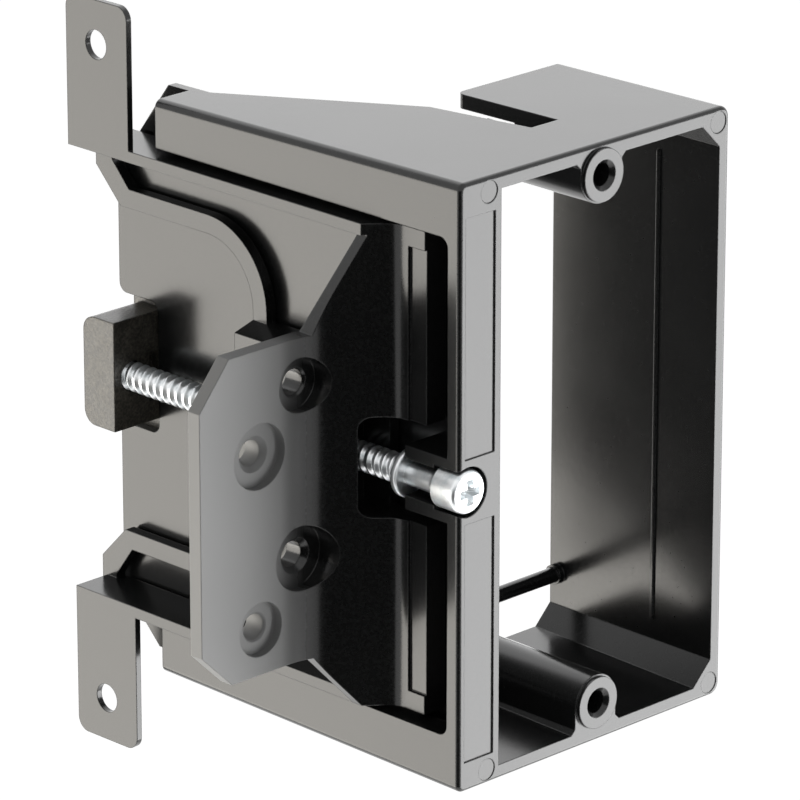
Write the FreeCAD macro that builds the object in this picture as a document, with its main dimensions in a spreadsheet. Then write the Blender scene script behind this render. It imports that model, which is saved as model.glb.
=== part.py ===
import FreeCAD, Part
import os
import re
import Sketcher
from FreeCAD import Vector

# Single-gang low voltage mounting bracket: a moulded frame that slides on a
# stud bracket and is set in depth by one captive screw.
# Millimetres. +X right, +Y back into the wall, +Z up. The origin is midway
# between the two device screws, on the plane of the front rim.
# Inside the bodies X is measured from the frame's left face and Z from the
# middle of its height; the bodies' placements bring them to the origin.

SIZES = [
    # Frame, overall
    ("frame_width", 57.2), ("frame_height", 94.6), ("rail_depth", 64.5),
    ("right_depth", 34.2), ("web_back", 80.7), ("draft_slope", 0.0155),
    ("middle_drop", 0.8), ("beyond", 5),
    # Frame, walls and front strip
    ("side_wall", 2.2), ("deck_wall", 2.3), ("strip_width", 8.5),
    ("strip_thick", 2.45), ("web_thick", 1.6), ("web_top_run", 11.7),
    ("web_top_fall", 15.5), ("web_bottom_run", 8.0), ("web_bottom_fall", 8.1),
    ("corner_fill", 3.8), ("outer_round", 1.8), ("rim_round", 0.7),
    ("rail_round", 1.3),
    # Frame, sunk panels and ejector marks on the front
    ("panel_left", 1.2), ("panel_right", 7.3), ("panel_deep", 0.25),
    ("upper_panel_low", 5.0), ("upper_panel_high", 42.0),
    ("lower_panel_low", -42.6), ("lower_panel_high", -5.0),
    ("mark_radius", 1.7), ("mark_deep", 0.12), ("mark_side", 2.5),
    ("mark_high", 45.0),
    # Frame, plan of the top and bottom walls
    ("deck_tip", 6.7), ("deck_bend", 25.6), ("deck_bend_back", 31.7),
    ("notch_left", 28.0), ("notch_right", 33.7), ("notch_floor", 13.0),
    ("notch_cut", 4.2), ("notch_round", 1.4),
    # Frame, side channel that guides the bracket
    ("channel_half", 38.7), ("lip_width", 4.2), ("lip_thick", 1.8),
    ("rail_face", 1.8), ("rail_core", 4.6), ("channel_round", 1.6),
    # Frame, device screw bosses
    ("device_spacing", 83.34), ("device_side", 29.4), ("boss_radius", 4.4),
    ("boss_depth", 22.0), ("boss_flare", 0.8), ("ring_radius", 4.1),
    ("ring_proud", 0.6), ("device_hole", 1.75), ("device_mouth", 0.65),
    ("device_hole_depth", 20.0),
    # Frame, cradle that holds the adjusting screw
    ("screw_side", 1.9), ("cradle_back", 11.2), ("cradle_half", 5.0),
    ("cradle_groove", 2.9), ("head_pocket", 3.9), ("head_pocket_back", 5.2),
    ("head_slot", 3.3),
    # Frame, end block seat, tie bar and depth line
    ("seat_half", 10.7), ("seat_floor", 72.0), ("seat_round", 1.6),
    ("tie_bar_back", 32.7), ("tie_bar_drop", 36.0), ("tie_bar_radius", 1.25),
    ("tie_knob_radius", 1.6), ("tie_knob_length", 1.0),
    ("depth_line_back", 12.0), ("depth_line_half", 38.0),
    ("depth_line_width", 0.5), ("depth_line_proud", 0.35),
    # Stud bracket, slide
    ("slide_side", 4.5), ("slide_thick", 1.8), ("slide_half", 37.8),
    ("slide_front", 9.1), ("slide_back", 83.0), ("shelf_thick", 1.8),
    ("tongue_front", 13.0), ("tongue_back", 60.0), ("tongue_high", 2.1),
    ("skin_side", 2.0), ("foot_side", 2.0), ("nose", 14.8),
    ("nose_round", 4.0), ("rib_step", 0.45), ("rib_front", 12.5),
    ("rib_half", 34.8), ("window_front", 19.7),
    # Stud bracket, loop of ribs
    ("loop_front", 48.2), ("loop_width", 3.0), ("loop_round", 10.0),
    ("loop_turn", 77.6), ("loop_rise", 6.6), ("upper_loop", 25.7),
    ("lower_loop", 27.3),
    # Stud bracket, stud flange and the ramp that joins it to the slide
    ("flange_front", 23.4), ("flange_thick", 2.4), ("flange_reach", 29.65),
    ("flange_top", 20.95), ("flange_bottom", 29.75), ("flange_corner", 5.95),
    ("corner_rise", 7.05), ("corner_drop", 5.75), ("fold_reach", 7.8),
    ("fold_round", 11.0), ("ramp_wall", 1.9), ("ramp_tip", 0.5),
    # Stud bracket, slot for the screw in the ramp
    ("slot_half", 7.9), ("slot_reach", 2.35), ("slot_wall", 1.3),
    ("slot_back", 18.9), ("slot_round", 1.8),
    # Stud bracket, flange holes
    ("inner_column", 9.45), ("column_gap", 8.3), ("hole_spacing", 27.1),
    ("inner_hole_top", 13.6), ("outer_hole_top", 4.5),
    ("flange_hole", 2.0), ("large_sink", 5.1), ("large_mouth", 0.85),
    ("small_sink", 4.25), ("small_mouth", 0.35),
    ("sink_depth", 1.4), ("sink_wall", 1.0), ("hole_boss", 2.8),
    # Stud bracket, threaded housing
    ("housing_side", 0.65), ("housing_half", 14.3), ("housing_fall", 1.1),
    ("thread_boss", 3.9),
    ("pocket_side", 2.0), ("pocket_inner", 5.6), ("pocket_outer", 11.9),
    ("pocket_front", 34.0),
    # Stud bracket, tabs
    ("tab_front", 68.4), ("tab_back", 82.0), ("tab_thick", 1.0),
    ("tab_high", 22.3), ("tab_round", 2.2), ("tab_hole_back", 75.3),
    ("tab_hole_high", 15.3), ("tab_hole", 2.3),
    # Adjusting screw
    ("head_front", 0.5), ("head_radius", 3.4), ("head_bevel", 0.5),
    ("head_back", 5.0), ("neck_radius", 1.9), ("collar_radius", 3.8),
    ("collar_front", 11.4), ("collar_thick", 1.1), ("thread_radius", 2.3),
    ("screw_tip", 77.0), ("tip_bevel", 0.9), ("thread_gap", 0.1),
    ("recess_arm", 2.0), ("recess_width", 0.55), ("recess_depth", 1.8),
    # Screw end block
    ("block_side", 1.9), ("block_front", 72.5), ("block_back", 79.4),
    ("block_top", 9.35), ("block_bottom", 8.3), ("block_round", 2.4),
    ("block_hole_back", 78.2), ("block_relief", 1.5), ("relief_bottom", 5.0),
    ("relief_top", 3.0), ("relief_back", 74.5), ("clip_gap", 0.15),
    ("clip_thick", 1.4), ("clip_half", 12.4), ("clip_front", 70.5),
]

ALIASES = {alias for alias, number in SIZES}

doc = FreeCAD.newDocument("low_voltage_bracket")
sheet = doc.addObject("Spreadsheet::Sheet", "Sizes")
for row, (alias, number) in enumerate(SIZES, start=1):
    sheet.set(f"A{row}", alias.replace("_", " "))
    sheet.set(f"B{row}", str(number))
    sheet.setAlias(f"B{row}", alias)
doc.recompute()


def bound(formula):
    """A formula in the sheet's own names, as an expression of the document."""
    return re.sub(r"[a-z]\w+", lambda word: f"Sizes.{word[0]}" if word[0] in ALIASES else word[0],
                  str(formula))


def size(formula):
    """The number that a formula gives now."""
    return float(sheet.evalExpression(bound(formula)))


def spot(across, back, up):
    return Vector(size(across), size(back), size(up))


def rect(left, low, right, high):
    return [(left, low), (right, low), (right, high), (left, high)]


class Circle:
    def __init__(self, across, up, radius):
        self.centre = (across, up)
        self.radius = radius


def pin(sketch, line, end, point):
    """Ties one end of a line, or a circle's centre, to two formulas."""
    for kind, formula in zip(("DistanceX", "DistanceY"), point):
        number = sketch.addConstraint(Sketcher.Constraint(kind, -1, 1, line, end, size(formula)))
        sketch.setExpression(f"Constraints[{number}]", bound(formula))


def draw(sketch, shape):
    """Draws one closed shape, every point of it tied to the sheet."""
    if isinstance(shape, Circle):
        centre = Vector(size(shape.centre[0]), size(shape.centre[1]), 0)
        line = sketch.addGeometry(Part.Circle(centre, Vector(0, 0, 1), size(shape.radius)))
        pin(sketch, line, 3, shape.centre)
        number = sketch.addConstraint(Sketcher.Constraint("Radius", line, size(shape.radius)))
        sketch.setExpression(f"Constraints[{number}]", bound(shape.radius))
        return
    corners = [Vector(size(across), size(up), 0) for across, up in shape]
    lines = [sketch.addGeometry(Part.LineSegment(start, end))
             for start, end in zip(corners, corners[1:] + corners[:1])]
    for line, after, corner in zip(lines, lines[1:] + lines[:1], shape):
        sketch.addConstraint(Sketcher.Constraint("Coincident", line, 2, after, 1))
        pin(sketch, line, 1, corner)


class Piece:
    """One moulded or turned piece, built as a PartDesign body."""

    def __init__(self, name):
        self.name = name
        self.body = doc.addObject("PartDesign::Body", name)
        self.body.setExpression("Placement.Base.x", bound("-device_side"))
        self.body.setExpression("Placement.Base.z", bound("-middle_drop"))

    def extrude(self, kind, plane, label, start, end, shapes):
        """Extrudes along the plane's own world axis, from start to end."""
        backwards = plane == "XZ"
        sketch = self.body.newObject("Sketcher::SketchObject", f"{label}_outline")
        base = next(item for item in self.body.Origin.OriginFeatures if item.Role == f"{plane}_Plane")
        sketch.AttachmentSupport = [(base, "")]
        sketch.MapMode = "FlatFace"
        sketch.setExpression("AttachmentOffset.Base.z", bound(f"{'-' if backwards else ''}({start})"))
        for shape in shapes:
            draw(sketch, shape)
        feature = self.body.newObject(f"PartDesign::{kind}", label)
        feature.Profile = sketch
        feature.setExpression("Length", bound(f"({end}) - ({start})"))
        feature.Reversed = backwards == (kind == "Pad")
        self.settle(feature)

    def settle(self, feature):
        doc.recompute()
        if "Invalid" in feature.State or not feature.Shape.isValid():
            raise RuntimeError(f"{self.name}: {feature.Label} did not build")

    def add(self, plane, label, start, end, *shapes):
        self.extrude("Pad", plane, label, start, end, shapes)

    def cut(self, plane, label, start, end, *shapes):
        self.extrude("Pocket", plane, label, start, end, shapes)

    def dress(self, kind, measure, label, formula, points):
        """Rounds or bevels the edges that pass closest to the points."""
        tip = self.body.Tip
        edges = []
        for point in points:
            mark = Part.Vertex(spot(*point))
            gaps = [edge.distToShape(mark)[0] for edge in tip.Shape.Edges]
            edges.append(f"Edge{gaps.index(min(gaps)) + 1}")
        feature = self.body.newObject(f"PartDesign::{kind}", label)
        feature.Base = (tip, sorted(set(edges)))
        feature.setExpression(measure, bound(formula))
        self.settle(feature)

    def round(self, label, formula, *points):
        self.dress("Fillet", "Radius", label, formula, points)

    def bevel(self, label, formula, *points):
        self.dress("Chamfer", "Size", label, formula, points)

    def export(self):
        solids = self.body.Shape.Solids
        if len(solids) != 1 or not self.body.Shape.isValid():
            raise RuntimeError(f"{self.name}: {len(solids)} solids")
        self.body.Shape.exportStep(f"parts/{self.name}.step")
        print(f"{self.name}: {self.body.Shape.Volume / 1000:.3f} cm3")


SIGNS = ((1, "top"), (-1, "bottom"))
channel_side = "strip_width - web_thick"
opening_right = "frame_width - side_wall"


def outer_face(back):
    return f"(frame_height / 2 - draft_slope * ({back}))"


def inner_face(back):
    return f"(frame_height / 2 - deck_wall - draft_slope * ({back}))"


# Frame
frame = Piece("frame")
top_bend = "web_back - web_top_run"
bottom_bend = "web_back - web_bottom_run"
frame.add("YZ", "shell", "0", "frame_width", [
    ("0", f"-{outer_face('0')}"),
    (bottom_bend, f"-{outer_face(bottom_bend)}"),
    ("web_back", f"web_bottom_fall - {outer_face(bottom_bend)}"),
    ("web_back", f"{outer_face(top_bend)} - web_top_fall"),
    (top_bend, outer_face(top_bend)),
    ("0", outer_face("0"))])
frame.round("corner_rounds", "outer_round",
            *[("frame_width", "right_depth", f"{sign} * {outer_face('right_depth')}")
              for sign, side in SIGNS])
frame.round("rail_rounds", "rail_round",
            *[("0", "right_depth", f"{sign} * {outer_face('right_depth')}") for sign, side in SIGNS])
frame.round("rim_rounds", "rim_round", ("frame_width", "0", "0"))
frame.cut("YZ", "opening", "strip_width", opening_right, [
    ("-beyond", f"-{inner_face('-beyond')}"),
    ("web_back + beyond", f"-{inner_face('web_back + beyond')}"),
    ("web_back + beyond", inner_face("web_back + beyond")),
    ("-beyond", inner_face("-beyond"))])
edge_run = "(rail_depth - deck_bend_back) / (deck_bend - deck_tip)"
frame.cut("XY", "deck_trim", "-frame_height", "frame_height", [
    ("strip_width", f"rail_depth - (strip_width - deck_tip) * {edge_run}"),
    ("deck_bend", "deck_bend_back"),
    ("notch_left", "notch_floor"),
    ("notch_right", "notch_floor"),
    ("notch_right", "right_depth"),
    ("frame_width + beyond", "right_depth"),
    ("frame_width + beyond", "web_back + beyond"),
    ("strip_width", "web_back + beyond")])
frame.round("notch_rounds", "notch_round",
            *[("notch_right", "right_depth", f"{sign} * ({outer_face('right_depth')} - 1)")
              for sign, side in SIGNS])
frame.cut("XY", "rail_trim", "-frame_height", "frame_height",
          rect("-beyond", "rail_depth", channel_side, "web_back + beyond"))
frame.cut("YZ", "channel", "-beyond", channel_side,
          rect("strip_thick", "-channel_half", "rail_depth + beyond", "channel_half"))
frame.round("channel_rounds", "channel_round",
            *[("strip_width / 2", "strip_thick", f"{sign} * channel_half") for sign, side in SIGNS])
for sign, side in SIGNS:
    lip = f"{sign} * (channel_half + lip_thick)"
    frame.cut("YZ", f"{side}_rail_core", "rail_face", channel_side, [
        ("rail_core", lip),
        ("rail_depth + beyond", lip),
        ("rail_depth + beyond", f"{sign} * {inner_face('rail_depth + beyond')}"),
        ("rail_core", f"{sign} * {inner_face('rail_core')}")])
    frame.cut("YZ", f"{side}_rail_slot", "lip_width", channel_side,
              rect("rail_core", f"{sign} * (channel_half - 1)",
                   "rail_depth + beyond", f"{sign} * (channel_half + lip_thick + 1)"))
    filled = f"(frame_height / 2 - deck_wall)"
    frame.add("XZ", f"{side}_corner_fill", "0", "right_depth", [
        (f"{opening_right} - corner_fill", f"{sign} * {filled}"),
        (f"{opening_right} - corner_fill", f"{sign} * ({filled} + 0.5)"),
        (f"{opening_right} + 0.5", f"{sign} * ({filled} + 0.5)"),
        (f"{opening_right} + 0.5", f"{sign} * ({filled} - corner_fill)"),
        (opening_right, f"{sign} * ({filled} - corner_fill)")])
    level = f"(middle_drop + {sign} * device_spacing / 2)"
    frame.add("XZ", f"{side}_boss", "0", "boss_depth", Circle("device_side", level, "boss_radius"))
    frame.add("XZ", f"{side}_boss_root", "0", "boss_depth", [
        ("device_side - boss_radius", level),
        ("device_side + boss_radius", level),
        ("device_side + boss_radius", f"{sign} * ({filled} - boss_flare)"),
        ("device_side + boss_radius + boss_flare", f"{sign} * {filled}"),
        ("device_side + boss_radius + boss_flare", f"{sign} * ({filled} + 0.5)"),
        ("device_side - boss_radius - boss_flare", f"{sign} * ({filled} + 0.5)"),
        ("device_side - boss_radius - boss_flare", f"{sign} * {filled}"),
        ("device_side - boss_radius", f"{sign} * ({filled} - boss_flare)")])
    frame.cut("XZ", f"{side}_boss_notch", "notch_floor", "boss_depth + beyond",
              rect("notch_left", f"{sign} * (frame_height / 2 - notch_cut)",
                   "notch_right", f"{sign} * (frame_height / 2 + beyond)"))
    frame.add("XZ", f"{side}_ring", "-ring_proud", "rim_round",
              Circle("device_side", level, "ring_radius"))
    frame.cut("XZ", f"{side}_device_hole", "-beyond", "device_hole_depth",
              Circle("device_side", level, "device_hole"))
    frame.bevel(f"{side}_device_mouth", "device_mouth",
                ("device_side", "-ring_proud", f"{level} + device_hole"))
frame.add("XZ", "cradle", "strip_thick - 1", "cradle_back",
          rect("0", "-cradle_half", f"{channel_side} + 1", "cradle_half"))
for label, radius, half, back in (
        ("neck_groove", "cradle_groove", "cradle_groove", "cradle_back + 1"),
        ("head_pocket", "head_pocket", "head_slot", "head_pocket_back")):
    frame.cut("XZ", f"{label}_bore", "-beyond", back, Circle("screw_side", "0", radius))
    frame.cut("XZ", f"{label}_mouth", "-beyond", back,
              rect("-beyond", f"-{half}", "screw_side", half))
for panel in ("upper_panel", "lower_panel"):
    frame.cut("XZ", panel, "-beyond", "panel_deep",
              rect("panel_left", f"{panel}_low", "panel_right", f"{panel}_high"))
frame.cut("XZ", "ejector_marks", "-beyond", "mark_deep",
          *[Circle(across, f"{sign} * mark_high", "mark_radius")
            for sign, side in SIGNS for across in ("strip_width - mark_side", "frame_width - mark_side")])
frame.cut("YZ", "block_seat", f"{channel_side} - 1", "strip_width + 1",
          rect("seat_floor", "-seat_half", "web_back + beyond", "seat_half"))
frame.round("seat_rounds", "seat_round",
            *[("strip_width - 0.5", back, f"{sign} * seat_half")
              for sign, side in SIGNS for back in ("seat_floor", "web_back")])
frame.add("YZ", "tie_bar", "strip_width - 0.5", f"{opening_right} + 0.5",
          Circle("tie_bar_back", "-tie_bar_drop", "tie_bar_radius"))
frame.add("YZ", "tie_knob", f"{opening_right} - tie_knob_length", f"{opening_right} + 0.5",
          Circle("tie_bar_back", "-tie_bar_drop", "tie_knob_radius"))
frame.add("YZ", "depth_line", f"{opening_right} - depth_line_proud", f"{opening_right} + 0.5",
          rect("depth_line_back", "-depth_line_half",
               "depth_line_back + depth_line_width", "depth_line_half"))

# Stud bracket
bracket = Piece("stud_bracket")
slide_face = "slide_side + slide_thick"
bracket.add("YZ", "slide", "slide_side", slide_face,
            rect("slide_front", "-slide_half", "slide_back", "slide_half"))
shelf = "(slide_half - shelf_thick)"
window_back = "loop_front - loop_width"
flange_back = "(flange_front + flange_thick)"
bracket.cut("YZ", "upper_window", "0", f"{slide_face} + 1", [
    ("flange_front + 1", "housing_half"),
    (window_back, "housing_half"),
    (window_back, "upper_loop + loop_width"),
    ("loop_turn - 2", "upper_loop + loop_width"),
    ("slide_back - 3.7", f"{shelf} - 3.3"),
    ("slide_back - 3.7", shelf),
    ("window_front", shelf),
    ("flange_front + 1", "flange_top")])
bracket.cut("YZ", "lower_window", "0", f"{slide_face} + 1", [
    (flange_back, "-housing_half"),
    (window_back, "-housing_half"),
    (window_back, "-lower_loop - loop_width"),
    ("loop_turn - 1.5", "-lower_loop - loop_width"),
    ("slide_back - 3.2", f"0.6 - {shelf}"),
    ("slide_back - 3.2", f"-{shelf}"),
    (flange_back, f"-{shelf}")])
bracket.cut("YZ", "back_opening", "0", f"{slide_face} + 1", [
    ("loop_front", "-lower_loop"),
    ("loop_turn", "-lower_loop"),
    ("slide_back + 1", "-lower_loop - loop_rise"),
    ("slide_back + 1", "upper_loop + loop_rise"),
    ("loop_turn", "upper_loop"),
    ("loop_front", "upper_loop")])
middle = "slide_side + slide_thick / 2"
bracket.round("inner_loop_rounds", "loop_round",
              (middle, "loop_front", "upper_loop"), (middle, "loop_front", "-lower_loop"))
bracket.round("outer_loop_rounds", "loop_round + loop_width",
              (middle, window_back, "upper_loop + loop_width"),
              (middle, window_back, "-lower_loop - loop_width"))
ramp_slope = "((flange_front - nose) / (foot_side + fold_reach))"


def ramp_front(across):
    """How far back the ramp's outer face lies, at a place across the bracket."""
    return f"(nose + {ramp_slope} * (foot_side - ({across})))"


ramp_back = f"(foot_side - ({flange_back} - nose - ramp_wall) / {ramp_slope})"
bracket.add("XY", "flange_and_ramp", "-slide_half", "slide_half", [
    ("-flange_reach", "flange_front"),
    ("-fold_reach", "flange_front"),
    ("foot_side", "nose"),
    ("foot_side", "slide_front"),
    (slide_face, "slide_front"),
    (slide_face, "nose + ramp_wall"),
    ("foot_side", "nose + ramp_wall"),
    (ramp_back, flange_back),
    ("-flange_reach", flange_back)])
bracket.round("fold_round", "fold_round", ("-fold_reach", "flange_front", "0"))
bracket.round("nose_fillet", "nose_round", ("foot_side", "nose", "0"))
bracket.cut("XZ", "above_flange", "-beyond", f"{flange_back} + 1", [
    ("-flange_reach - 1", "flange_top - corner_rise - 1"),
    ("-flange_reach", "flange_top - corner_rise"),
    ("flange_corner - flange_reach", "flange_top"),
    ("-fold_reach", "flange_top"),
    ("-ramp_tip", "slide_half"),
    ("-ramp_tip", "slide_half + 1"),
    ("-flange_reach - 1", "slide_half + 1")])
bracket.cut("XZ", "below_flange", "-beyond", f"{flange_back} + 1", [
    ("-flange_reach - 1", "corner_drop - flange_bottom + 1"),
    ("-flange_reach", "corner_drop - flange_bottom"),
    ("flange_corner - flange_reach", "-flange_bottom"),
    ("-fold_reach", "-flange_bottom"),
    ("-skin_side", "-slide_half"),
    ("-skin_side", "-slide_half - 1"),
    ("-flange_reach - 1", "-slide_half - 1")])
for sign, side in SIGNS:
    bracket.add("YZ", f"{side}_tongue", "slide_side", slide_face,
                rect("tongue_front", f"{sign} * {shelf}",
                     "tongue_back", f"{sign} * (slide_half + tongue_high)"))
    low, high = sorted((f"{sign} * {shelf}", f"{sign} * slide_half"), key=size)
    bracket.add("XY", f"{side}_shelf", low, high, [
        ("-skin_side", ramp_front("-skin_side")),
        ("foot_side", "nose"),
        (slide_face, "nose"),
        (slide_face, "tab_back"),
        ("-skin_side", "tab_back")])
slot_left = "(-slot_reach - slot_wall)"
bracket.add("XY", "slot_walls", "-slot_half - slot_wall", "slot_half + slot_wall", [
    (slot_left, f"{ramp_front(slot_left)} + ramp_wall / 2"),
    ("foot_side", "nose + ramp_wall / 2"),
    ("slide_side + slide_thick / 2", "nose + ramp_wall / 2"),
    ("slide_side + slide_thick / 2", flange_back),
    (slot_left, flange_back)])
bracket.add("XZ", "housing", "flange_front", "loop_front", [
    ("housing_side", "housing_fall - housing_half"),
    ("slide_side", "-housing_half"),
    (slide_face, "-housing_half"),
    (slide_face, "housing_half"),
    ("slide_side", "housing_half"),
    ("housing_side", "housing_half - housing_fall")])
bracket.add("XZ", "thread_boss", "flange_front", "loop_front",
            Circle("screw_side", "0", "thread_boss"))
bracket.cut("XZ", "ramp_slot", "-beyond", f"{flange_back} - slot_wall",
            rect("-slot_reach", "-slot_half", "slide_side", "slot_half"))
bracket.round("slot_rounds", "slot_round",
              *[("-slot_reach", "flange_front", f"{sign} * slot_half") for sign, side in SIGNS])
bracket.cut("YZ", "slide_slot", "slide_side - 1", f"{slide_face} + 1",
            rect("slide_front - 1", "-slot_half", "slot_back", "slot_half"))
bracket.cut("XZ", "thread_bore", "slot_back", "loop_front + 1",
            Circle("screw_side", "0", "thread_radius + thread_gap"))
for sign, side in SIGNS:
    bracket.cut("YZ", f"{side}_nose_step", "foot_side - 1", "foot_side + rib_step",
                rect("slide_front - 1", f"{sign} * (slot_half - 1)",
                     "rib_front", f"{sign} * rib_half"))
    bracket.cut("XZ", f"{side}_housing_pocket", "pocket_front", "loop_front + 1",
                rect("pocket_side", f"{sign} * pocket_inner", "slide_side", f"{sign} * pocket_outer"))
    tip = f"{sign} * (slide_half + tab_high)"
    bracket.add("YZ", f"{side}_tab", "-skin_side", "tab_thick - skin_side",
                rect("tab_front", f"{sign} * {shelf}", "tab_back", tip))
    bracket.round(f"{side}_tab_rounds", "tab_round",
                  *[("tab_thick / 2 - skin_side", end, tip) for end in ("tab_front", "tab_back")])
    bracket.cut("YZ", f"{side}_tab_hole", "-beyond", "0",
                Circle("tab_hole_back", f"{sign} * (slide_half + tab_hole_high)", "tab_hole"))
columns = (("inner", "-inner_column", "inner_hole_top"),
           ("outer", "-inner_column - column_gap", "outer_hole_top"))
for column, across, top in columns:
    for row, level in (("upper", top), ("lower", f"{top} - hole_spacing")):
        wide = (column, row) in (("inner", "lower"), ("outer", "upper"))
        kind = "large" if wide else "small"
        name = f"{column}_{row}"
        if column == "inner":
            right = f"({across} + {kind}_sink + sink_wall)"
            bracket.add("XY", f"{name}_wall", f"{level} - {kind}_sink - sink_wall",
                        f"{level} + {kind}_sink + sink_wall", [
                            (across, f"{flange_back} - 0.5"),
                            (right, f"{ramp_front(right)} + ramp_wall / 2"),
                            (right, flange_back),
                            (across, flange_back)])
        bracket.add("XZ", f"{name}_boss", "flange_front + 1", f"{flange_back} + hole_boss",
                    Circle(across, level, "flange_hole + 1.5"))
        bracket.cut("XZ", f"{name}_sink", "-beyond", "flange_front + sink_depth",
                    Circle(across, level, f"{kind}_sink"))
        bracket.cut("XZ", f"{name}_hole", "flange_front", f"{flange_back} + beyond",
                    Circle(across, level, "flange_hole"))
        bracket.bevel(f"{name}_mouth", f"{kind}_mouth",
                      (across, "flange_front + sink_depth", f"{level} + flange_hole"))

# Adjusting screw
screw = Piece("adjusting_screw")
screw.add("XZ", "shank", "head_back - 1", "screw_tip", Circle("screw_side", "0", "neck_radius"))
screw.add("XZ", "thread", "collar_front", "screw_tip", Circle("screw_side", "0", "thread_radius"))
screw.bevel("tip", "tip_bevel", ("screw_side", "screw_tip", "thread_radius"))
screw.add("XZ", "collar", "collar_front", "collar_front + collar_thick",
          Circle("screw_side", "0", "collar_radius"))
screw.add("XZ", "head", "-head_front", "head_back", Circle("screw_side", "0", "head_radius"))
screw.bevel("head_edge", "head_bevel", ("screw_side", "-head_front", "head_radius"))
screw.cut("XZ", "recess_across", "-beyond", "recess_depth - head_front",
          rect("screw_side - recess_arm", "-recess_width", "screw_side + recess_arm", "recess_width"))
screw.cut("XZ", "recess_up", "-beyond", "recess_depth - head_front",
          rect("screw_side - recess_width", "-recess_arm", "screw_side + recess_width", "recess_arm"))

# Screw end block
block = Piece("screw_end_block")
clip_side = "(strip_width + clip_gap)"
block.add("YZ", "block", "-block_side", clip_side,
          rect("block_front", "-block_bottom", "block_back", "block_top"))
block.round("block_rounds", "block_round",
            *[("0", "block_back", level) for level in ("-block_bottom", "block_top")])
block.cut("YZ", "block_relief", f"{channel_side} - block_relief", f"{clip_side} - 1",
          rect("block_front - 1", "-relief_bottom", "relief_back", "relief_top"))
block.add("YZ", "clip", clip_side, f"{clip_side} + clip_thick",
          rect("clip_front", "-clip_half", "block_back", "clip_half"))
block.cut("XZ", "tip_bore", "block_front - 1", "block_hole_back",
          Circle("screw_side", "0", "thread_radius + thread_gap"))

os.makedirs("parts", exist_ok=True)
for piece in (frame, bracket, screw, block):
    piece.export()
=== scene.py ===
"""Low voltage mounting bracket: two glossy black mouldings, a grainy end block and a zinc plated screw.

Every length is in metres, in the frame of the CAD model.
"""

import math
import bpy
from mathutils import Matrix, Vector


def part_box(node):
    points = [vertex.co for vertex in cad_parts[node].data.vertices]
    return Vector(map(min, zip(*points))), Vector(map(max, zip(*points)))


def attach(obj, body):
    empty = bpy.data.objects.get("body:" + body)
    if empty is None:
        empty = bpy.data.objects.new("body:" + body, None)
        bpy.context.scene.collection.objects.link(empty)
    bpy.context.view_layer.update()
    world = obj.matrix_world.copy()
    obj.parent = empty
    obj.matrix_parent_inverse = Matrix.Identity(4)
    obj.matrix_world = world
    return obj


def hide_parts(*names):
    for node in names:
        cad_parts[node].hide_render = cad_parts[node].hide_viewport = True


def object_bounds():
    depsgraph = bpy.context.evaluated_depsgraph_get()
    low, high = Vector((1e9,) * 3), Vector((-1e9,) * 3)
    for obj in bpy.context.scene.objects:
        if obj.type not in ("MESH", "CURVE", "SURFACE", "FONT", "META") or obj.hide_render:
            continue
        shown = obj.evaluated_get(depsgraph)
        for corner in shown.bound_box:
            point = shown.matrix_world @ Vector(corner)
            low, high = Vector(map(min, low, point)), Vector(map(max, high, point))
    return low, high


bl_info = {
    "name": "Low voltage mounting bracket",
    "version": (1, 0, 0),
    "blender": (4, 5, 0),
    "location": "View3D > Sidebar > Bracket",
    "description": "Finishes the mouldings, cuts the screw's thread and sets the studio",
    "category": "Object",
}

import bpy
import numpy as np
from bpy.props import FloatProperty, FloatVectorProperty, IntProperty, PointerProperty
from bpy.types import Operator, Panel, PropertyGroup
from mathutils import Vector

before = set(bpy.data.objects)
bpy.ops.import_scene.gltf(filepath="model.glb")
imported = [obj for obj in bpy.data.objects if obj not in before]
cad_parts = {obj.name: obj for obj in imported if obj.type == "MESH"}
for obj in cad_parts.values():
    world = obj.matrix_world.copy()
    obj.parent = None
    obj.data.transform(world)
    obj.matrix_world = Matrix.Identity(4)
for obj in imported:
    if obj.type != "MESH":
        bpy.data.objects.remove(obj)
CAD_LOW, CAD_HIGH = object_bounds()
SCREW_LOW, SCREW_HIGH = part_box("adjusting_screw")

MILLIMETRE = 0.001
PHOTO_WIDTH = 800
SENSOR_WIDTH = 36.0
PLASTIC_IOR = 1.5
WHITE = (1.0, 1.0, 1.0, 1.0)
CAD_SPLIT = math.radians(40)
SCREW_SPLIT = math.radians(50)


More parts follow.
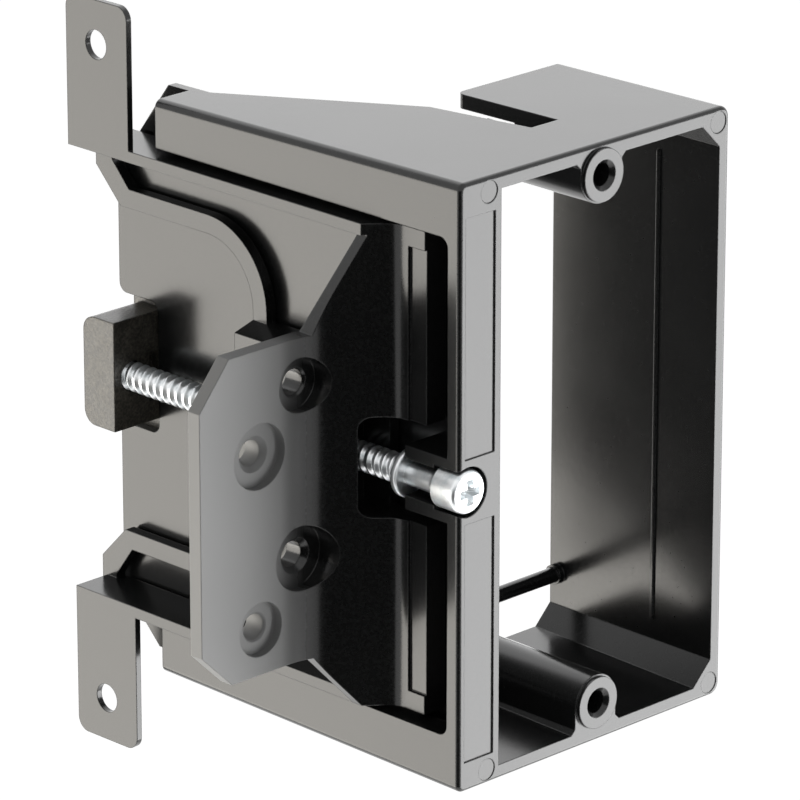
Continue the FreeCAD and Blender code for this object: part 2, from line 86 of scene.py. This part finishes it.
class MouldedFinish(PropertyGroup):
    """The glossy black plastic of the frame and the stud bracket."""

    colour: FloatVectorProperty(
        name="Colour", description="Colour of the plastic under its gloss",
        subtype="COLOR", size=3, min=0.0, max=1.0, default=(0.012, 0.0125, 0.0125))
    roughness: FloatProperty(
        name="Roughness", description="Roughness of the moulded skin",
        subtype="FACTOR", min=0.0, max=1.0, default=0.2)
    unevenness: FloatProperty(
        name="Unevenness", description="How far the roughness wanders over the skin",
        subtype="FACTOR", min=0.0, max=1.0, default=0.06)
    edge_round: FloatProperty(
        name="Edge round", description="Radius of the moulding's small edges",
        subtype="DISTANCE", unit="LENGTH", min=0.0, default=0.25 * MILLIMETRE)
    peel_height: FloatProperty(
        name="Peel height", description="Height of the skin's faint ripple",
        subtype="DISTANCE", unit="LENGTH", min=0.0, default=0.004 * MILLIMETRE)
    satin_roughness: FloatProperty(
        name="Satin roughness", description="How much rougher the stud flange is than the rest",
        subtype="FACTOR", min=0.0, max=1.0, default=0.34)
    # Painted sheen: this light grey colour on the stud flange stands in for the light that the black
    # plastic reflects there.
    painted_sheen_colour: FloatVectorProperty(
        name="Satin colour", description="Colour of the stud flange's satin skin",
        subtype="COLOR", size=3, min=0.0, max=1.0, default=(0.25, 0.251, 0.25))
    # The edge and the fade place the stud flange's rougher skin and its painted sheen along X.
    satin_and_sheen_edge: FloatProperty(
        name="Satin edge", description="Where along X the satin skin begins to fade",
        subtype="DISTANCE", unit="LENGTH", default=-43.0 * MILLIMETRE)
    satin_and_sheen_fade: FloatProperty(
        name="Satin fade", description="Width of the satin skin's fade",
        subtype="DISTANCE", unit="LENGTH", default=6.0 * MILLIMETRE)


class BlockFinish(PropertyGroup):
    """The grainy plastic of the block at the screw's end."""

    colour: FloatVectorProperty(
        name="Colour", description="Colour of the block's hollows",
        subtype="COLOR", size=3, min=0.0, max=1.0, default=(0.03, 0.028, 0.024))
    speck_colour: FloatVectorProperty(
        name="Speck colour", description="Colour of the block's pale specks",
        subtype="COLOR", size=3, min=0.0, max=1.0, default=(0.12, 0.11, 0.09))
    roughness: FloatProperty(
        name="Roughness", description="Roughness of the block's skin",
        subtype="FACTOR", min=0.0, max=1.0, default=0.36)
    grain_height: FloatProperty(
        name="Grain height", description="Height of the block's grain",
        subtype="DISTANCE", unit="LENGTH", min=0.0, default=0.05 * MILLIMETRE)


class ZincFinish(PropertyGroup):
    """The zinc plating of the screw."""

    colour: FloatVectorProperty(
        name="Colour", description="Colour of the bright plating",
        subtype="COLOR", size=3, min=0.0, max=1.0, default=(0.88, 0.9, 0.91))
    dull_colour: FloatVectorProperty(
        name="Dull colour", description="Colour of the plating's dull patches",
        subtype="COLOR", size=3, min=0.0, max=1.0, default=(0.62, 0.67, 0.69))
    roughness: FloatProperty(
        name="Roughness", description="Roughness of the bright plating",
        subtype="FACTOR", min=0.0, max=1.0, default=0.34)


class ScrewShape(PropertyGroup):
    """The adjusting screw. Its places along Y are from the front of its head."""

    head_radius: FloatProperty(
        name="Head radius", description="Radius of the head",
        subtype="DISTANCE", unit="LENGTH", default=3.4 * MILLIMETRE)
    head_edge: FloatProperty(
        name="Head edge", description="Radius of the round on the head's front edge",
        subtype="DISTANCE", unit="LENGTH", default=0.7 * MILLIMETRE)
    head_crown: FloatProperty(
        name="Head crown", description="How far the head's rim lies behind its middle",
        subtype="DISTANCE", unit="LENGTH", default=0.25 * MILLIMETRE)
    head_length: FloatProperty(
        name="Head length", description="Length of the head",
        subtype="DISTANCE", unit="LENGTH", default=5.5 * MILLIMETRE)
    neck_radius: FloatProperty(
        name="Neck radius", description="Radius of the plain neck",
        subtype="DISTANCE", unit="LENGTH", default=1.9 * MILLIMETRE)
    collar_start: FloatProperty(
        name="Collar start", description="Where the collar begins",
        subtype="DISTANCE", unit="LENGTH", default=11.9 * MILLIMETRE)
    collar_length: FloatProperty(
        name="Collar length", description="Thickness of the collar",
        subtype="DISTANCE", unit="LENGTH", default=1.1 * MILLIMETRE)
    recess_arm: FloatProperty(
        name="Recess arm", description="Length of each arm of the cross recess",
        subtype="DISTANCE", unit="LENGTH", default=2.0 * MILLIMETRE)
    recess_half: FloatProperty(
        name="Recess half width", description="Half the width of each arm",
        subtype="DISTANCE", unit="LENGTH", default=0.55 * MILLIMETRE)
    recess_depth: FloatProperty(
        name="Recess depth", description="Depth of the recess at its middle",
        subtype="DISTANCE", unit="LENGTH", default=1.8 * MILLIMETRE)
    thread_radius: FloatProperty(
        name="Thread radius", description="Radius over the thread's crests",
        subtype="DISTANCE", unit="LENGTH", default=2.3 * MILLIMETRE)
    thread_depth: FloatProperty(
        name="Thread depth", description="Height of the thread's ridge",
        subtype="DISTANCE", unit="LENGTH", default=0.55 * MILLIMETRE)
    pitch: FloatProperty(
        name="Pitch", description="Rise of the thread in one turn",
        subtype="DISTANCE", unit="LENGTH", default=1.5875 * MILLIMETRE)
    columns: IntProperty(
        name="Columns", description="Points round the screw", min=24, default=96)
    rows_per_turn: IntProperty(
        name="Rows per turn", description="Points along one pitch of the thread", min=6, default=14)


class StudioLight(PropertyGroup):
    """Soft cards in the mirror directions of the sides that the camera sees, and one black screen."""

    card_distance: FloatProperty(
        name="Card distance", description="Distance of the cards from the bracket",
        subtype="DISTANCE", unit="LENGTH", default=0.5)
    side_radiance: FloatProperty(name="Side card", description="Brightness for the left side", default=4.3)
    front_radiance: FloatProperty(name="Front card", description="Brightness for the front", default=6.6)
    top_radiance: FloatProperty(name="Top card", description="Brightness for the top", default=0.95)
    card_size: FloatProperty(
        name="Card size", description="Width of the side and front cards",
        subtype="DISTANCE", unit="LENGTH", default=0.44)
    top_size: FloatProperty(
        name="Top card size", description="Width of the top card",
        subtype="DISTANCE", unit="LENGTH", default=0.9)
    side_tint: FloatVectorProperty(
        name="Side tint", description="Colour of the side card's light",
        subtype="COLOR", size=3, min=0.0, max=1.0, default=(1.0, 0.957, 0.876))
    ambient: FloatProperty(name="Ambient", description="Brightness of the room's soft light", default=0.26)
    screen_distance: FloatProperty(
        name="Screen distance", description="Distance of the black screen from the bracket",
        subtype="DISTANCE", unit="LENGTH", default=0.6)
    screen_size: FloatProperty(
        name="Screen size", description="Width of the black screen",
        subtype="DISTANCE", unit="LENGTH", default=0.75)
    floor_drop: FloatProperty(
        name="Floor drop", description="How far the floor lies below the bracket",
        subtype="DISTANCE", unit="LENGTH", default=0.4)


class PhotoCamera(PropertyGroup):
    """The camera that the bracket was seen with."""

    yaw: FloatProperty(
        name="Yaw", description="Turn of the view from straight ahead to the right",
        subtype="ANGLE", unit="ROTATION", default=math.radians(44.73))
    pitch: FloatProperty(
        name="Pitch", description="Angle of the view below the horizon",
        subtype="ANGLE", unit="ROTATION", default=math.radians(19.5))
    distance: FloatProperty(
        name="Distance", description="Distance from the camera to the middle of its view",
        subtype="DISTANCE", unit="LENGTH", default=0.9127)
    focal_pixels: FloatProperty(
        name="Focal length in pixels", description="Focal length over the size of one pixel",
        default=6162.7)
    middle: FloatVectorProperty(
        name="Middle", description="The point at the middle of the view",
        subtype="TRANSLATION", unit="LENGTH", size=3, default=(-0.02169, 0.02, 0.00701))


class Wire:
    """A socket of a material. Sums, differences and products of wires and numbers add Math nodes."""

    def __init__(self, tree, socket):
        self.tree = tree
        self.socket = socket

    def node(self, kind, settings, inputs, output=0):
        """Adds a node: its settings come first, then the values or links of its sockets."""
        made = self.tree.nodes.new(kind)
        for name, value in settings.items():
            setattr(made, name, value)
        for name, value in inputs.items():
            if isinstance(value, Wire):
                self.tree.links.new(value.socket, made.inputs[name])
            else:
                made.inputs[name].default_value = value
        return Wire(self.tree, made.outputs[output])

    def maths(self, operation, first, second):
        return self.node("ShaderNodeMath", {"operation": operation}, {0: first, 1: second})

    def __add__(self, other):
        return self.maths("ADD", self, other)

    __radd__ = __add__

    def __sub__(self, other):
        return self.maths("SUBTRACT", self, other)

    def __rsub__(self, other):
        return self.maths("SUBTRACT", other, self)

    def __mul__(self, other):
        return self.maths("MULTIPLY", self, other)

    __rmul__ = __mul__

    def noise(self, size, detail=2.0):
        """Noise from 0 to 1 whose lumps are as wide as size, read at this wire's vector."""
        return self.node("ShaderNodeTexNoise", {}, {"Vector": self, "Scale": 1.0 / size, "Detail": detail})

    def along_x(self):
        """The X part of this vector."""
        return self.node("ShaderNodeSeparateXYZ", {}, {"Vector": self})

    def span(self, low, high, start=0.0, end=1.0):
        """This value stretched so that low gives start and high gives end, and held there."""
        inputs = {"Value": self, "From Min": low, "From Max": high, "To Min": start, "To Max": end}
        return self.node("ShaderNodeMapRange", {"clamp": True}, inputs)

    def blend(self, first, second):
        """The colour first where this value is 0 and second where it is 1."""
        first, second = (part if isinstance(part, Wire) else (*part, 1.0) for part in (first, second))
        inputs = {"Factor": self, 6: first, 7: second}
        return self.node("ShaderNodeMix", {"data_type": "RGBA"}, inputs, output=2)

    def raised(self, height, base):
        """A normal bent as if this value, from 0 to 1, stood up by height."""
        inputs = {"Height": self, "Distance": height, "Strength": 1.0, "Normal": base}
        return self.node("ShaderNodeBump", {}, inputs)


def new_material(name):
    """An empty material, its output's surface socket and the wire of its Object coordinates."""
    material = bpy.data.materials.new(name)
    material.use_nodes = True
    tree = material.node_tree
    tree.nodes.clear()
    output = tree.nodes.new("ShaderNodeOutputMaterial")
    place = tree.nodes.new("ShaderNodeTexCoord")
    return material, output.inputs["Surface"], Wire(tree, place.outputs["Object"])


def rounded_normal(place, radius):
    """The surface's normal, turned smoothly across edges as if they were rounded."""
    return place.node("ShaderNodeBevel", {"samples": 6}, {"Radius": radius})


def moulded_plastic(finish):
    """Glossy black plastic with a faint ripple. On the stud flange it turns rougher and is painted light
    grey as painted sheen.
    """
    material, surface, place = new_material("moulded_black_plastic")
    patch_size = 14 * MILLIMETRE
    grain_size = 0.6 * MILLIMETRE
    ripple_size = 2.2 * MILLIMETRE
    dust_gain = 1.6
    dust_start = 0.45
    dust_full = 0.75
    patches = place.noise(patch_size, detail=3.0)
    fine = place.noise(grain_size, detail=3.0)
    roughness = finish.roughness + (patches - 0.5) * finish.unevenness + (fine - 0.5) * finish.unevenness
    dusty = tuple(min(1.0, dust_gain * part) for part in finish.colour)
    colour = fine.span(dust_start, dust_full).blend(tuple(finish.colour), dusty)
    # The stud flange: a rougher skin, with a light grey colour painted over it as painted sheen, fading
    # out along X.
    satin_and_painted_sheen = place.along_x().span(finish.satin_and_sheen_edge, finish.satin_and_sheen_edge + finish.satin_and_sheen_fade, 1.0, 0.0)
    roughness = roughness + satin_and_painted_sheen * finish.satin_roughness
    colour = satin_and_painted_sheen.blend(colour, tuple(finish.painted_sheen_colour))
    ripple = place.noise(ripple_size, detail=1.0)
    normal = ripple.raised(finish.peel_height, rounded_normal(place, finish.edge_round))
    shader = place.node("ShaderNodeBsdfPrincipled", {}, {
        "Base Color": colour, "Roughness": roughness, "Normal": normal, "IOR": PLASTIC_IOR})
    place.tree.links.new(shader.socket, surface)
    return material


def grainy_plastic(finish):
    """Matte dark plastic with a rough grain and pale specks."""
    material, surface, place = new_material("grainy_block_plastic")
    grain_size = 0.45 * MILLIMETRE
    cloud_size = 3.0 * MILLIMETRE
    grain_share = 0.7
    cloud_share = 0.3
    speck_start = 0.42
    speck_full = 0.68
    roughness_range = 0.2
    edge_round = 0.4 * MILLIMETRE
    grain = place.noise(grain_size, detail=4.0)
    cloud = place.noise(cloud_size, detail=2.0)
    colour = (grain * grain_share + cloud * cloud_share).span(speck_start, speck_full).blend(
        tuple(finish.colour), tuple(finish.speck_colour))
    roughness = finish.roughness + (cloud - 0.5) * roughness_range
    normal = grain.raised(finish.grain_height, rounded_normal(place, edge_round))
    shader = place.node("ShaderNodeBsdfPrincipled", {}, {
        "Base Color": colour, "Roughness": roughness, "Normal": normal, "IOR": PLASTIC_IOR})
    place.tree.links.new(shader.socket, surface)
    return material


def zinc_plate(finish):
    """Bright zinc with dull patches and the fine dents of a tumbled screw."""
    material, surface, place = new_material("zinc_plate")
    patch_size = 1.6 * MILLIMETRE
    dent_size = 0.5 * MILLIMETRE
    dent_depth = 0.012 * MILLIMETRE
    edge_round = 0.08 * MILLIMETRE
    dull_start = 0.45
    dull_full = 0.7
    dull_roughness = 0.12
    patches = place.noise(patch_size, detail=4.0)
    dents = place.noise(dent_size, detail=2.0)
    dull = patches.span(dull_start, dull_full)
    colour = dull.blend(tuple(finish.colour), tuple(finish.dull_colour))
    roughness = finish.roughness + dull * dull_roughness
    normal = dents.raised(dent_depth, rounded_normal(place, edge_round))
    shader = place.node("ShaderNodeBsdfPrincipled", {}, {
        "Base Color": colour, "Roughness": roughness, "Metallic": 1.0, "Normal": normal})
    place.tree.links.new(shader.socket, surface)
    return material


def dress(piece, material):
    """Gives a piece one material and nothing else."""
    piece.data.materials.clear()
    piece.data.materials.append(material)


def smooth_curves(piece, split_angle):
    """Shades curved faces smoothly and keeps edges sharper than the angle crisp."""
    piece.data.polygons.foreach_set("use_smooth", np.ones(len(piece.data.polygons), bool))
    weld = piece.modifiers.new("weld", "WELD")
    weld.merge_threshold = 0.002 * MILLIMETRE
    split = piece.modifiers.new("crisp_edges", "EDGE_SPLIT")
    split.use_edge_sharp = False
    split.split_angle = split_angle
    weighted = piece.modifiers.new("flat_faces", "WEIGHTED_NORMAL")
    weighted.mode = "FACE_AREA"
    weighted.weight = 100


class MouldingFinisher(Operator):
    """Finishes the frame and the stud bracket in glossy black plastic"""

    bl_idname = "bracket.finish_mouldings"
    bl_label = "Finish mouldings"

    def execute(self, context):
        material = moulded_plastic(context.scene.bracket_moulded)
        for node in ("frame", "stud_bracket"):
            dress(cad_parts[node], material)
            smooth_curves(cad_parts[node], CAD_SPLIT)
        return {"FINISHED"}


class BlockFinisher(Operator):
    """Finishes the screw's end block in grainy plastic"""

    bl_idname = "bracket.finish_block"
    bl_label = "Finish end block"

    def execute(self, context):
        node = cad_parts["screw_end_block"]
        dress(node, grainy_plastic(context.scene.bracket_block))
        smooth_curves(node, CAD_SPLIT)
        return {"FINISHED"}


def screw_profile(shape):
    """The screw's outline from the middle of its head to its tip, as rows of place, radius and thread.

    Each row is how far it lies behind the head's front, its radius, and how much of the
    thread's depth is cut away there: none on the head, neck and collar.
    """
    def run(start, end, steps):
        """Rows from one point to another, in equal steps, without the last."""
        share = np.arange(steps)[:, None] / steps
        return np.array(start) * (1 - share) + np.array(end) * share

    rim = shape.head_radius - shape.head_edge
    share = np.arange(40) / 40
    radii = rim * share
    face = np.stack([shape.head_crown * share ** 2, radii, 0 * share], 1)
    turn = np.linspace(0, math.pi / 2, 9)[:-1]
    edge = np.stack([shape.head_crown + shape.head_edge * (1 - np.cos(turn)),
                     rim + shape.head_edge * np.sin(turn), 0 * turn], 1)
    side = shape.head_crown + shape.head_edge
    under = shape.head_length - 0.5 * MILLIMETRE
    fillet = 0.4 * MILLIMETRE
    fillet_radius = shape.neck_radius + fillet
    fillet_end = shape.head_length + fillet
    collar_end = shape.collar_start + shape.collar_length
    collar = float(SCREW_HIGH.x - SCREW_LOW.x) / 2
    chamfer = 0.15 * MILLIMETRE
    tip = float(SCREW_HIGH.y - SCREW_LOW.y)
    tip_start = tip - 1.2 * MILLIMETRE
    tip_radius = shape.thread_radius - shape.thread_depth - 0.2 * MILLIMETRE
    turns = (tip_start - collar_end) / shape.pitch
    rows = int(turns * shape.rows_per_turn)
    thread = run((collar_end, shape.thread_radius, 1), (tip_start, shape.thread_radius, 1), rows)
    thread[:, 2] = np.clip((thread[:, 0] - collar_end) / shape.pitch, 0, 1)
    pieces = [
        face, edge,
        run((side, shape.head_radius, 0), (under, shape.head_radius, 0), 4),
        run((under, shape.head_radius, 0), (shape.head_length, fillet_radius, 0), 3),
        run((shape.head_length, fillet_radius, 0), (fillet_end, shape.neck_radius, 0), 3),
        run((fillet_end, shape.neck_radius, 0), (shape.collar_start, shape.neck_radius, 0), 6),
        run((shape.collar_start, shape.neck_radius, 0), (shape.collar_start, collar - chamfer, 0), 4),
        run((shape.collar_start, collar - chamfer, 0), (shape.collar_start + chamfer, collar, 0), 2),
        run((shape.collar_start + chamfer, collar, 0), (collar_end - chamfer, collar, 0), 3),
        run((collar_end - chamfer, collar, 0), (collar_end, collar - chamfer, 0), 2),
        run((collar_end, collar - chamfer, 0), (collar_end, shape.thread_radius, 0), 4),
        thread,
        run((tip_start, shape.thread_radius, 1), (tip, tip_radius, 0), 12),
        run((tip, tip_radius, 0), (tip, 0, 0), 3),
        np.array([[tip, 0, 0]]),
    ]
    return np.concatenate(pieces)


def ridge(phase):
    """The thread's cut from 0 on the crest to 1 at the root: a narrow crest and sloping flanks."""
    crest_width = 0.14
    flank_width = 0.62
    softness = 0.4
    from_crest = 2 * np.abs((phase % 1.0) - 0.5)
    share = np.clip((from_crest - crest_width) / flank_width, 0, 1)
    return share * share * (3 - 2 * share) * softness + share * (1 - softness)


def recess(across, up, shape):
    """Depth of the cross recess at each point of the head: two arms with sloping ends and sides."""
    slope = 0.16 * MILLIMETRE
    sloping_share = 0.6
    depth = np.zeros_like(across)
    for along, aside in ((across, up), (up, across)):
        reach = np.clip((shape.recess_arm - np.abs(along)) / (shape.recess_arm * sloping_share), 0, 1)
        width = np.clip((shape.recess_half - np.abs(aside)) / slope + 0.5, 0, 1)
        depth = np.maximum(depth, shape.recess_depth * np.sqrt(reach) * width)
    return depth


def screw_mesh(shape):
    """The screw as one closed grid: its outline turned about Y.

    The radius falls by the thread's cut, read at place / pitch less the turn's share, and the
    head's face sinks by the recess.
    """
    profile = screw_profile(shape)
    inner = profile[1:-1]
    turn = np.arange(shape.columns) / shape.columns
    back = inner[:, :1] + 0 * turn
    phase = back / shape.pitch - turn
    radius = inner[:, 1:2] - shape.thread_depth * inner[:, 2:3] * ridge(phase)
    across = radius * np.sin(2 * math.pi * turn)
    up = radius * np.cos(2 * math.pi * turn)
    on_face = back < shape.head_crown
    back = back + np.where(on_face, recess(across, up, shape), 0)
    axis = (SCREW_LOW + SCREW_HIGH) / 2
    grid = np.stack([across + axis.x, back + SCREW_LOW.y, up + axis.z], 2).reshape(-1, 3)
    ends = np.array([[axis.x, SCREW_LOW.y + shape.recess_depth, axis.z], [axis.x, SCREW_HIGH.y, axis.z]])
    rows, columns = len(inner), shape.columns
    here = np.arange(rows * columns).reshape(rows, columns)
    beside = np.roll(here, -1, axis=1)
    quads = np.stack([here[:-1], beside[:-1], beside[1:], here[1:]], 2).reshape(-1, 4)
    front, tip = rows * columns, rows * columns + 1
    caps = [(front, int(b), int(a)) for a, b in zip(here[0], beside[0])]
    caps += [(tip, int(a), int(b)) for a, b in zip(here[-1], beside[-1])]
    mesh = bpy.data.meshes.new("adjusting_screw_threaded")
    mesh.from_pydata(np.concatenate([grid, ends]).tolist(), [], quads.tolist() + caps)
    return mesh


class ScrewMaker(Operator):
    """Makes the adjusting screw with its helical thread and cross recess"""

    bl_idname = "bracket.make_screw"
    bl_label = "Make adjusting screw"

    def execute(self, context):
        piece = bpy.data.objects.new("threaded_adjusting_screw", screw_mesh(context.scene.bracket_screw))
        context.scene.collection.objects.link(piece)
        dress(piece, zinc_plate(context.scene.bracket_zinc))
        smooth_curves(piece, SCREW_SPLIT)
        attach(piece, "adjusting_screw")
        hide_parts("adjusting_screw")
        return {"FINISHED"}


def mirrored(forward, normal):
    """The direction in which a flat side with this normal shows its surroundings."""
    return forward - 2 * forward.dot(normal) * normal


def view_forward(camera):
    """The direction in which the camera looks, from its yaw and pitch."""
    return Vector((math.sin(camera.yaw) * math.cos(camera.pitch),
                   math.cos(camera.yaw) * math.cos(camera.pitch), -math.sin(camera.pitch)))


def add_card(name, target, direction, distance, size, radiance, tint):
    """A square lamp that faces the target from the direction."""
    lamp = bpy.data.lights.new(name, "AREA")
    lamp.color = tint
    lamp.shape = "SQUARE"
    lamp.size = size
    lamp.energy = radiance * math.pi * size * size
    card = bpy.data.objects.new(name, lamp)
    card.location = target + direction * distance
    card.rotation_mode = "QUATERNION"
    card.rotation_quaternion = direction.to_track_quat("Z", "Y")
    card.visible_camera = False
    bpy.context.scene.collection.objects.link(card)


def seen_directly(tree):
    """1 for rays that come from the camera, from a reflection or through glass, and 0 for soft light."""
    path = tree.nodes.new("ShaderNodeLightPath")
    camera, glossy, through = (
        Wire(tree, path.outputs[name])
        for name in ("Is Camera Ray", "Is Glossy Ray", "Is Transmission Ray"))
    return camera.maths("MAXIMUM", camera, glossy.maths("MAXIMUM", glossy, through))


def make_world(ambient):
    """White where it is seen, and the room's soft light for everything else."""
    world = bpy.data.worlds.new("studio_world")
    bpy.context.scene.world = world
    world.use_nodes = True
    tree = world.node_tree
    tree.nodes.clear()
    output = tree.nodes.new("ShaderNodeOutputWorld")
    seen = seen_directly(tree)
    strength = seen.span(0.0, 1.0, ambient, 1.0)
    background = seen.node("ShaderNodeBackground", {}, {"Color": WHITE, "Strength": strength})
    tree.links.new(background.socket, output.inputs["Surface"])


def make_floor(height):
    """A wide pale floor that shows as white and still takes the bracket's shadow."""
    reach = 4.0
    glow_strength = 0.8
    mottle_size = 0.4
    mesh = bpy.data.meshes.new("studio_floor")
    signs = ((-1, -1), (1, -1), (1, 1), (-1, 1))
    corners = [(across * reach, back * reach, height) for across, back in signs]
    mesh.from_pydata(corners, [], [(0, 1, 2, 3)])
    floor = bpy.data.objects.new("studio_floor", mesh)
    bpy.context.scene.collection.objects.link(floor)
    material, surface, place = new_material("pale_floor")
    mottle = place.noise(mottle_size, detail=2.0)
    colour = mottle.blend((0.84, 0.84, 0.84), (0.88, 0.88, 0.88))
    lit = place.node("ShaderNodeBsdfDiffuse", {}, {"Color": colour})
    glow = place.node("ShaderNodeEmission", {}, {
        "Color": WHITE, "Strength": seen_directly(place.tree) * glow_strength})
    both = place.node("ShaderNodeAddShader", {}, {0: lit, 1: glow})
    place.tree.links.new(both.socket, surface)
    dress(floor, material)


def make_screen(target, direction, distance, size):
    """A square black screen below the camera. It shows in reflections and lets all light through."""
    middle = target + direction * distance
    across = direction.cross(Vector((0, 0, 1))).normalized() * size / 2
    up = across.cross(direction).normalized() * size / 2
    corners = [middle - across - up, middle + across - up, middle + across + up, middle - across + up]
    mesh = bpy.data.meshes.new("black_screen")
    mesh.from_pydata(corners, [], [(0, 1, 2, 3)])
    screen = bpy.data.objects.new("black_screen", mesh)
    screen.visible_camera = False
    screen.visible_diffuse = False
    screen.visible_shadow = False
    bpy.context.scene.collection.objects.link(screen)
    material, surface, place = new_material("black_felt")
    nap_size = 0.05
    colour = place.noise(nap_size, detail=2.0).blend((0.01, 0.01, 0.01), (0.014, 0.014, 0.014))
    felt = place.node("ShaderNodeBsdfDiffuse", {}, {"Color": colour})
    place.tree.links.new(felt.socket, surface)
    dress(screen, material)


def make_camera(camera):
    """The photograph's camera, aimed at the middle of its view."""
    data = bpy.data.cameras.new("photo_camera")
    data.sensor_width = SENSOR_WIDTH
    data.lens = SENSOR_WIDTH * camera.focal_pixels / PHOTO_WIDTH
    data.clip_start = 0.05
    data.clip_end = 20.0
    eye = bpy.data.objects.new("photo_camera", data)
    forward = view_forward(camera)
    eye.location = Vector(camera.middle) - forward * camera.distance
    eye.rotation_mode = "QUATERNION"
    eye.rotation_quaternion = forward.to_track_quat("-Z", "Y")
    bpy.context.scene.collection.objects.link(eye)
    bpy.context.scene.camera = eye


class StageMaker(Operator):
    """Makes the floor, the world, the soft cards and the camera"""

    bl_idname = "bracket.make_stage"
    bl_label = "Make stage"

    def execute(self, context):
        light = context.scene.bracket_light
        forward = view_forward(context.scene.bracket_camera)
        middle = (CAD_LOW + CAD_HIGH) / 2
        white = (1.0, 1.0, 1.0)
        cards = (
            ("side_card", Vector((-1, 0, 0)), light.card_size, light.side_radiance, light.side_tint),
            ("front_card", Vector((0, -1, 0)), light.card_size, light.front_radiance, white),
            ("top_card", Vector((0, 0, 1)), light.top_size, light.top_radiance, white),
        )
        for name, normal, size, radiance, tint in cards:
            add_card(name, middle, mirrored(forward, normal), light.card_distance, size, radiance, tint)
        ramp_normal = Vector((-1, -1, 0)).normalized()
        make_screen(middle, mirrored(forward, ramp_normal), light.screen_distance, light.screen_size)
        make_world(light.ambient)
        make_floor(CAD_LOW.z - light.floor_drop)
        make_camera(context.scene.bracket_camera)
        context.scene.view_settings.view_transform = "Standard"
        return {"FINISHED"}


MAKERS = (MouldingFinisher, BlockFinisher, ScrewMaker, StageMaker)
SETTINGS = {
    "bracket_moulded": MouldedFinish,
    "bracket_block": BlockFinish,
    "bracket_zinc": ZincFinish,
    "bracket_screw": ScrewShape,
    "bracket_light": StudioLight,
    "bracket_camera": PhotoCamera,
}


class BracketPanel(Panel):
    """Lists the makers and the sizes and colours that they use"""

    bl_idname = "VIEW3D_PT_bracket"
    bl_label = "Mounting bracket"
    bl_space_type = "VIEW_3D"
    bl_region_type = "UI"
    bl_category = "Bracket"

    def draw(self, context):
        for maker in MAKERS:
            self.layout.operator(maker.bl_idname)
        for name, group in SETTINGS.items():
            box = self.layout.box()
            box.label(text=group.__doc__.split(".")[0])
            for size in group.__annotations__:
                box.prop(getattr(context.scene, name), size)


def register():
    for group in (*SETTINGS.values(), *MAKERS, BracketPanel):
        bpy.utils.register_class(group)
    for name, group in SETTINGS.items():
        setattr(bpy.types.Scene, name, PointerProperty(type=group))


def unregister():
    for name in SETTINGS:
        delattr(bpy.types.Scene, name)
    for group in reversed((*SETTINGS.values(), *MAKERS, BracketPanel)):
        bpy.utils.unregister_class(group)


def main():
    register()
    bpy.ops.bracket.finish_mouldings()
    bpy.ops.bracket.finish_block()
    bpy.ops.bracket.make_screw()
    bpy.ops.bracket.make_stage()


if __name__ == "__main__":
    main()
